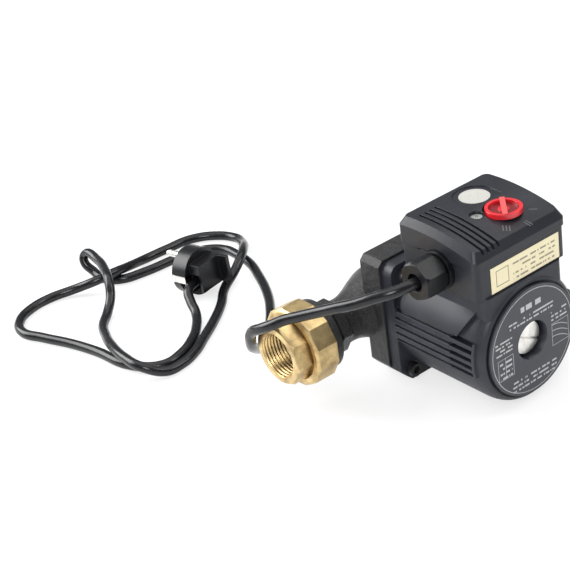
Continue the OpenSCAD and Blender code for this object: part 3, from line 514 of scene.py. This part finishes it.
def nameplate_film():
    """Grey plate with a painted highlight as a pale line along its rim, and plain printed bars and boxes."""
    paint = Paint("nameplate_film", IOR=1.5)
    at = paint.place()
    u, v, reach = paint.face(at, MIDDLE, "xz")
    # Painted highlight: a pale ring along the plate's rim, coloured like the printed marks it joins
    ink = reach.between(*PLATE_RIM_HIGHLIGHT)
    for bars in PLATE_BARS:
        ink = ink.most(text_rows(paint, u, v, *bars))
    for sides in PLATE_FRAMES:
        ink = ink.most(outline(u, v, *sides))
    far = (u - CURVE_LEFT).most(0.0)
    for height in CURVE_HEIGHTS:
        gap = (v - (height - CURVE_BEND * far * far)).size()
        ink = ink.most((gap < CURVE_HALF_LINE) * u.between(CURVE_LEFT, CURVE_RIGHT) * (v > CURVE_LOW))
    ink = ink * (reach < PLATE_EDGE)
    brushed = paint.noise(paint.stretch(at, (0.05, 1.0, 1.0)), 0.0004, 3.0)
    clouds = paint.noise(at, 0.012, 2.0)
    tint = paint.blend(clouds, (0.024, 0.026, 0.034), (0.034, 0.036, 0.045))
    return paint.finish(Base_Color=paint.blend(ink * 0.6, tint, (0.62, 0.62, 0.63)),
                        Roughness=0.36 + 0.14 * brushed, Normal=paint.bump(brushed, 0.00003, 0.4))


def plain_finish(name, colour, rough, metallic=0.0, grain=0.0006):
    """A quiet finish with fine grain, for the pieces inside."""
    paint = Paint(name, Metallic=metallic)
    at = paint.place()
    fine = paint.noise(at, grain, 3.0)
    clouds = paint.noise(at, 0.008, 2.0)
    tint = paint.blend(clouds, rgba(colour, 0.85), rgba(colour, 1.1))
    return paint.finish(Base_Color=tint, Roughness=rough + 0.12 * fine, Normal=paint.bump(fine, 0.00005, 0.5))


def wound_copper():
    """Enamelled copper wire, wound round the core."""
    paint = Paint("wound_copper", Metallic=0.8)
    at = paint.place()
    wires = (paint.face(at, MIDDLE, "xz")[2] / 0.0009).fraction()
    mess = paint.noise(at, 0.0016, 3.0)
    tint = paint.blend(wires.spread(0.0, 0.3), (0.16, 0.05, 0.02), (0.62, 0.25, 0.09))
    return paint.finish(Base_Color=tint, Roughness=0.32 + 0.2 * mess,
                        Normal=paint.bump((wires - 0.5).size() + mess * 0.5, 0.0003, 0.8))


# Mesh helpers


def mesh_piece(name, build, material, body="pump"):
    """Makes an object from a bmesh filled by a function, and lets it ride on a body."""
    mesh = bpy.data.meshes.new(name)
    shape = bmesh.new()
    build(shape)
    bmesh.ops.recalc_face_normals(shape, faces=shape.faces)
    shape.to_mesh(mesh)
    shape.free()
    piece = bpy.data.objects.new(name, mesh)
    bpy.context.scene.collection.objects.link(piece)
    mesh.materials.append(material)
    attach(piece, body)
    return piece


def pipe_threads(shape, side):
    """The Rp 1 threads inside a tailpiece, as a helical wall from the mouth inwards."""
    steps = int(THREAD_LENGTH / THREAD_PITCH * THREAD_STEPS_PER_TURN)
    rows = []
    for i in range(steps + 1):
        far = THREAD_LENGTH * i / steps
        cut = min(1.0, far / THREAD_FADE_IN, (THREAD_LENGTH - far) / THREAD_FADE_OUT)
        row = []
        for k in range(THREAD_AROUND):
            angle = 2 * math.pi * k / THREAD_AROUND
            wave = (far / THREAD_PITCH + k / THREAD_AROUND) % 1.0
            crest = 1.0 - abs(2.0 * wave - 1.0)
            reach = THREAD_ROOT - THREAD_DEPTH * cut * min(1.0, 1.25 * crest)
            place = pump(side * (THREAD_MOUTH - far), reach * math.cos(angle), side * reach * math.sin(angle))
            row.append(shape.verts.new(place))
        rows.append(row)
    for first, second in zip(rows, rows[1:]):
        for k in range(THREAD_AROUND):
            after = (k + 1) % THREAD_AROUND
            shape.faces.new((first[k], first[after], second[after], second[k]))


def lid_height(y):
    """Height of the lid's arched top in the pump's own frame, in millimetres."""
    return LID_CREST - (-y - LID_CREST_AT) ** 2 / (2 * LID_ARCH)


def laid_strip(shape, corners, lift=0.06, steps=6):
    """A thin painted strip that follows the lid's arch, from four corners in millimetres; the dial's marks use
    it as painted highlights.
    """
    a, b, c, d = [Vector(p) for p in corners]
    rows = []
    for i in range(steps + 1):
        t = i / steps
        left = a.lerp(d, t)
        right = b.lerp(c, t)
        rows.append([shape.verts.new(pump(p.x, p.y, lid_height(p.y) + lift)) for p in (left, right)])
    for first, second in zip(rows, rows[1:]):
        shape.faces.new((first[0], first[1], second[1], second[0]))


# The mains lead's route, in millimetres, from the gland to the plug's pocket
LEAD_ROUTE = [
    (-32, -32.4, 97), (-62, -32.4, 97), (-71, -29.5, 96), (-79, -21, 93), (-86, -11, 88.5),
    (-92, 1, 84), (-97, 13, 79), (-102, 23, 75), (-107, 32, 71.5), (-112, 38.5, 68), (-115, 46.2, 63.9),
    (-116, 55.9, 57.9), (-114, 62, 48.3), (-110, 68, 40), (-104, 75, 33), (-94, 86, 23), (-81, 99, 13),
    (-67, 114, 6), (-53, 130, 3.5), (-39, 147, 3.5), (-27, 165, 3.5), (-14, 192, 3.5), (-6, 214, 3.5),
    (-4, 231, 3.5), (-5, 246, 3.5), (-14, 258, 3.5), (-30, 264, 3.5), (-66, 268, 3.5),
    (-82, 273, 3.5), (-90, 285, 3.5), (-91, 297, 6), (-93, 305, 13), (-91, 305, 18), (-91, 287, 19.5),
    (-96, 269, 19.5), (-103, 253, 17.5), (-108, 246, 10), (-117, 238, 4.5), (-128, 227, 3.5), (-137, 209, 6),
    (-145, 187, 10), (-149, 164, 11.5), (-147, 147, 10.5), (-135, 139, 4.5), (-121, 139, 3.5), (-107, 144, 3.5),
    (-92, 154, 3.5), (-75, 166, 3.5), (-57, 181, 3.5), (-41, 198, 3.5), (-24, 207, 7.5), (-13, 213, 12),
    (-4, 222, 11.5), (8, 240, 6), (12, 255, 3.5), (4, 271, 3.5), (-12, 282, 3.5), (-32, 284, 3.5),
    (-54, 284, 4), (-73, 277, 8.5), (-87, 273, 11.5), (-101, 274, 11), (-115, 286, 5.5), (-132, 293, 3.5),
    (-150, 291, 3.5), (-165, 282, 3.5), (-172, 266, 3.5), (-166, 247, 3.5), (-157, 223, 3.5), (-151, 200, 3.5),
    (-145, 165, 3.5), (-131, 148, 3.5), (-114, 150, 3.5), (-100, 158, 3.5), (-87, 170, 3.5),
    (-77, 184, 5.5), (-74, 193, 9.5), (-70, 200.5, 13.5),
]
PLUG_PLACE = Vector((-53.5, 221.5, 17.9))
PLUG_TURN = math.radians(102)
PLUG_RISE = math.radians(-3)
# The end of the lead in the plug's drawing: the bottom of the pocket, and how far above it the lead comes in
POCKET = (-14.0, 5.0, -4.0)
POCKET_ENTRY = 3.5
POCKET_REST = 0.05
# The smooth curve is this much longer than straight steps between its points
CURVE_SHARE = 1.008


def at_plug(x, y, z):
    """A place in the plug's own drawing, whose X runs towards the pins, as a point of the part."""
    lean = Matrix.Rotation(-PLUG_RISE, 3, "Y")
    turn = Matrix.Rotation(PLUG_TURN, 3, "Z")
    return (PLUG_PLACE + turn @ (lean @ Vector((x, y, z)))) * MM


def route_length(points):
    """Length of the straight steps between points."""
    return sum((b - a).length for a, b in zip(points, points[1:]))


# The studio's floor and surroundings


def lay_floor(scene, colour):
    """A white floor that keeps the pump's shadow and glows for the camera, the more the farther out."""
    mesh = bpy.data.meshes.new("floor")
    corners = [(x * FLOOR_REACH, y * FLOOR_REACH, 0) for x, y in ((-1, -1), (1, -1), (1, 1), (-1, 1))]
    mesh.from_pydata(corners, [], [(0, 1, 2, 3)])
    floor = bpy.data.objects.new("floor", mesh)
    scene.collection.objects.link(floor)
    paint = Paint("floor_paper", Roughness=0.9, Specular_IOR_Level=0.0, Base_Color=rgba(colour))
    seen = paint.tree.nodes.new("ShaderNodeLightPath")
    glow = paint.tree.nodes.new("ShaderNodeEmission")
    glow.inputs["Color"].default_value = (1, 1, 1, 1)
    mix = paint.tree.nodes.new("ShaderNodeMixShader")
    camera_ray, glossy_ray, passed_ray = (
        Wire(paint, seen.outputs[name]) for name in ("Is Camera Ray", "Is Glossy Ray", "Is Transmission Ray"))
    away = paint.face(paint.place(), Vector(), "xy")[2]
    shown = camera_ray * away.spread(GLOW_NEAR, GLOW_FAR, GLOW_LEAST, 1.0)
    amount = shown + glossy_ray * FLOOR_MIRRORED + passed_ray
    for i, socket in enumerate((amount.socket, paint.shader.outputs[0], glow.outputs[0])):
        paint.tree.links.new(socket, mix.inputs[i])
    paint.tree.links.new(mix.outputs[0], paint.out.inputs[0])
    mesh.materials.append(paint.material)


def light_world(scene, sky):
    """An even light all round, white where the camera or clear parts look, a little white in mirrors."""
    world = bpy.data.worlds.new("studio")
    scene.world = world
    world.use_nodes = True
    tree = world.node_tree
    tree.nodes.clear()
    path = tree.nodes.new("ShaderNodeLightPath")
    mirrored = tree.nodes.new("ShaderNodeMath")
    mirrored.operation = "MULTIPLY_ADD"
    mirrored.inputs[1].default_value = WORLD_MIRRORED
    through = tree.nodes.new("ShaderNodeMath")
    even, white = (tree.nodes.new("ShaderNodeBackground") for _ in range(2))
    even.inputs[0].default_value = (0.97, 0.985, 1.0, 1.0)
    even.inputs[1].default_value = sky
    white.inputs[0].default_value = (1, 1, 1, 1)
    white.inputs[1].default_value = 1.0
    choose = tree.nodes.new("ShaderNodeMixShader")
    out = tree.nodes.new("ShaderNodeOutputWorld")
    for source, target in (
        (path.outputs["Is Glossy Ray"], mirrored.inputs[0]),
        (path.outputs["Is Camera Ray"], mirrored.inputs[2]),
        (path.outputs["Is Transmission Ray"], through.inputs[0]),
        (mirrored.outputs[0], through.inputs[1]),
        (through.outputs[0], choose.inputs[0]),
        (even.outputs[0], choose.inputs[1]),
        (white.outputs[0], choose.inputs[2]),
        (choose.outputs[0], out.inputs[0]),
    ):
        tree.links.new(source, target)


# Operators


class PUMP_OT_camera(bpy.types.Operator):
    """Put the camera where the photograph was taken from"""

    bl_idname = "pump.camera"
    bl_label = "Place the camera"

    def execute(self, context):
        data = bpy.data.cameras.new("camera")
        data.sensor_width = 36.0
        data.lens = LENS
        camera = bpy.data.objects.new("camera", data)
        context.scene.collection.objects.link(camera)
        turn = Matrix((CAMERA_RIGHT, CAMERA_UP, CAMERA_BACK)).transposed().to_4x4()
        camera.matrix_world = Matrix.Translation(pump(*CAMERA_PLACE)) @ turn
        context.scene.camera = camera
        return {"FINISHED"}


class PUMP_OT_lead(bpy.types.Operator):
    """Lay the mains lead from the gland to the plug"""

    bl_idname = "pump.lead"
    bl_label = "Lay the mains lead"

    def execute(self, context):
        lead = context.scene.pump_lead
        points = [Vector(p) * MM for p in LEAD_ROUTE]
        along, deep, high = POCKET
        points += [at_plug(along, deep + lift, high) for lift in (POCKET_ENTRY, POCKET_REST)]
        curve = bpy.data.curves.new("mains_lead", "CURVE")
        curve.dimensions = "3D"
        curve.bevel_depth = lead.diameter / 2
        curve.bevel_resolution = lead.sides
        curve.resolution_u = 6
        curve.use_fill_caps = True
        spline = curve.splines.new("BEZIER")
        spline.bezier_points.add(len(points) - 1)
        for target, point in zip(spline.bezier_points, points):
            target.co = point
            target.handle_left_type = "AUTO"
            target.handle_right_type = "AUTO"
        piece = bpy.data.objects.new("mains_lead", curve)
        context.scene.collection.objects.link(piece)
        curve.materials.append(lead_sheath((0.0060, 0.0062, 0.0075)))
        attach(piece, "pump")
        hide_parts("power_cord")
        route_length(points) * CURVE_SHARE
        return {"FINISHED"}


class PUMP_OT_castings(bpy.types.Operator):
    """Finish the pump casting, the motor casting and their bolts"""

    bl_idname = "pump.castings"
    bl_label = "Finish the castings"

    def execute(self, context):
        finish = context.scene.pump_finish
        wear(["pump_housing"], coated_iron(finish.iron, finish.grain))
        wear(["stator_housing"], motor_enamel(finish.motor))
        wear(["flange_bolts"], plain_finish("blackened_bolts", (0.018, 0.018, 0.020), 0.34, 0.5))
        return {"FINISHED"}


class PUMP_OT_unions(bpy.types.Operator):
    """Finish the brass unions"""

    bl_idname = "pump.unions"
    bl_label = "Finish the unions"

    def execute(self, context):
        brass = machined_brass(context.scene.pump_finish.brass)
        wear(["left_union_nut", "right_union_nut", "left_tailpiece", "right_tailpiece"], brass)
        mesh_piece("left_pipe_threads", lambda shape: pipe_threads(shape, -1), brass)
        mesh_piece("right_pipe_threads", lambda shape: pipe_threads(shape, 1), brass)
        return {"FINISHED"}


class PUMP_OT_box(bpy.types.Operator):
    """Finish the terminal box, its label, sticker, screw and gland"""

    bl_idname = "pump.box"
    bl_label = "Finish the terminal box"

    def execute(self, context):
        finish = context.scene.pump_finish
        wear(["terminal_box_base", "terminal_box_lid"],
             moulded_plastic("box_plastic", finish.box, 0.29, speckle=0.4, shine=0.32))
        wear(["gland_body", "gland_nut"],
             moulded_plastic("gland_plastic", finish.black, 0.24, speckle=0.2, shine=0.30))
        wear(["front_label"], front_label_film(finish.label))
        wear(["round_sticker"], sticker_film())
        wear(["lid_screw"], plated_metal("plated_screw", (0.86, 0.86, 0.85), 0.22))
        # The screw's head is drawn above its seat, so that its cross shows
        mesh = nodes["lid_screw"].data.copy()
        turn = nodes["lid_screw"].matrix_world
        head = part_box("lid_screw")[1].z - SCREW_LIFT
        for vertex in mesh.vertices:
            place = turn @ vertex.co
            vertex.co = place + Vector((0, 0, SCREW_LIFT)) if place.z > head else place
        screw = bpy.data.objects.new("raised_lid_screw", mesh)
        context.scene.collection.objects.link(screw)
        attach(screw, "pump")
        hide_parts("lid_screw")
        return {"FINISHED"}


class PUMP_OT_dial(bpy.types.Operator):
    """Finish the speed knob and lay the dial's marks on the lid as pale strips, painted highlights of its
    grooves
    """

    bl_idname = "pump.dial"
    bl_label = "Finish the speed dial"

    def execute(self, context):
        wear(["selector_knob"], knob_plastic(context.scene.pump_finish.knob))
        # Painted highlight: pale grey strips stand in for the lit edges of the lid's dial grooves
        ink = plain_finish("dial_ink", (0.085, 0.085, 0.092), 0.4)

        def marks(shape):
            for count, angle in DIAL_MARKS:
                out = Vector((math.cos(math.radians(angle)), math.sin(math.radians(angle)), 0.0))
                across = Vector((-out.y, out.x, 0.0))
                for i in range(count):
                    shift = across * (i - (count - 1) / 2) * DIAL_GAP
                    near = DIAL_MIDDLE + out * DIAL_NEAR + shift
                    far = DIAL_MIDDLE + out * DIAL_FAR + shift
                    half = across * DIAL_HALF_STROKE
                    laid_strip(shape, [near - half, near + half, far + half, far - half])

        mesh_piece("dial_marks", marks, ink)
        return {"FINISHED"}


class PUMP_OT_front(bpy.types.Operator):
    """Finish the nameplate and the vent screw"""

    bl_idname = "pump.front"
    bl_label = "Finish the front"

    def execute(self, context):
        wear(["nameplate"], nameplate_film())
        wear(["vent_screw"], plated_metal("plated_vent", (0.88, 0.86, 0.82), 0.20))
        return {"FINISHED"}


class PUMP_OT_plug(bpy.types.Operator):
    """Finish the mains plug"""

    bl_idname = "pump.plug"
    bl_label = "Finish the plug"

    def execute(self, context):
        black = context.scene.pump_finish.black
        wear(["plug_body"], moulded_plastic("plug_plastic", black, 0.25, speckle=0.2, shine=0.34))
        wear(["plug_pins", "plug_earth_clips"], plated_metal("plated_pins", (0.84, 0.82, 0.78), 0.18))
        return {"FINISHED"}


class PUMP_OT_insides(bpy.types.Operator):
    """Finish the pieces that the housings hide"""

    bl_idname = "pump.insides"
    bl_label = "Finish the insides"

    def execute(self, context):
        wear(["housing_gasket", "lid_seal", "vent_seal", "gland_seal", "left_union_gasket",
              "right_union_gasket", "thrust_ring", "power_cord"],
             soft_rubber("seal_rubber", (0.016, 0.016, 0.016), 0.5))
        wear(["wear_ring", "bearing_plate", "rotor_can", "rotor_shaft", "box_screws", "terminal_screws"],
             plated_metal("plain_steel", (0.62, 0.62, 0.62), 0.26))
        wear(["stator_core", "rotor_core"], plated_metal("core_steel", (0.30, 0.30, 0.32), 0.34, 0.0007))
        wear(["stator_windings"], wound_copper())
        wear(["rear_bearing", "front_bearing"], plain_finish("bearing_ceramic", (0.70, 0.67, 0.60), 0.3))
        wear(["impeller"], plain_finish("wheel_plastic", (0.52, 0.48, 0.38), 0.42))
        wear(["capacitor"], plated_metal("drawn_can", (0.70, 0.71, 0.73), 0.3))
        wear(["terminal_block"], plain_finish("block_plastic", (0.66, 0.66, 0.62), 0.42))
        wear(["speed_switch"], plain_finish("switch_plastic", (0.03, 0.03, 0.03), 0.4))
        return {"FINISHED"}


class PUMP_OT_stage(bpy.types.Operator):
    """Set up the floor, the backdrop and the lamps"""

    bl_idname = "pump.stage"
    bl_label = "Set the stage"

    def execute(self, context):
        stage = context.scene.pump_stage
        lay_floor(context.scene, stage.floor)
        light_world(context.scene, stage.sky)
        for name, power, place, width in (
            ("key_lamp", stage.key, (-0.9, -0.7, 0.9), 0.55),
            ("top_lamp", stage.top, (0.1, 0.25, 1.15), 1.4),
            ("side_lamp", stage.side, (0.85, -0.75, 1.1), 0.7),
            ("back_lamp", stage.back, (-0.85, 1.30, 0.95), 1.2),
        ):
            lamp = bpy.data.lights.new(name, "AREA")
            lamp.energy = power
            lamp.size = width
            holder = bpy.data.objects.new(name, lamp)
            context.scene.collection.objects.link(holder)
            holder.location = place
            holder.rotation_euler = (LAMP_AIM - Vector(place)).to_track_quat("-Z", "Y").to_euler()
        context.scene.view_settings.view_transform = "Standard"
        return {"FINISHED"}


class PUMP_PT_panel(bpy.types.Panel):
    """The pump's settings and steps."""

    bl_label = "Circulation pump"
    bl_idname = "PUMP_PT_panel"
    bl_space_type = "VIEW_3D"
    bl_region_type = "UI"
    bl_category = "Pump"

    def draw(self, context):
        layout = self.layout
        for group in ("pump_finish", "pump_lead", "pump_stage"):
            settings = getattr(context.scene, group)
            box = layout.box()
            for name in settings.__annotations__:
                box.prop(settings, name)
        for operator in OPERATORS:
            layout.operator(operator.bl_idname)


GROUPS = (PumpFinish, PumpLead, PumpStage)
OPERATORS = (PUMP_OT_camera, PUMP_OT_lead, PUMP_OT_castings, PUMP_OT_unions, PUMP_OT_box, PUMP_OT_dial,
             PUMP_OT_front, PUMP_OT_plug, PUMP_OT_insides, PUMP_OT_stage)
CLASSES = (*GROUPS, *OPERATORS, PUMP_PT_panel)


def register():
    for item in CLASSES:
        bpy.utils.register_class(item)
    bpy.types.Scene.pump_finish = PointerProperty(type=PumpFinish)
    bpy.types.Scene.pump_lead = PointerProperty(type=PumpLead)
    bpy.types.Scene.pump_stage = PointerProperty(type=PumpStage)


def unregister():
    del bpy.types.Scene.pump_stage
    del bpy.types.Scene.pump_lead
    del bpy.types.Scene.pump_finish
    for item in reversed(CLASSES):
        bpy.utils.unregister_class(item)


def main():
    register()
    bpy.ops.pump.camera()
    bpy.ops.pump.lead()
    bpy.ops.pump.castings()
    bpy.ops.pump.unions()
    bpy.ops.pump.box()
    bpy.ops.pump.dial()
    bpy.ops.pump.front()
    bpy.ops.pump.plug()
    bpy.ops.pump.insides()
    bpy.ops.pump.stage()


if __name__ == "__main__":
    main()
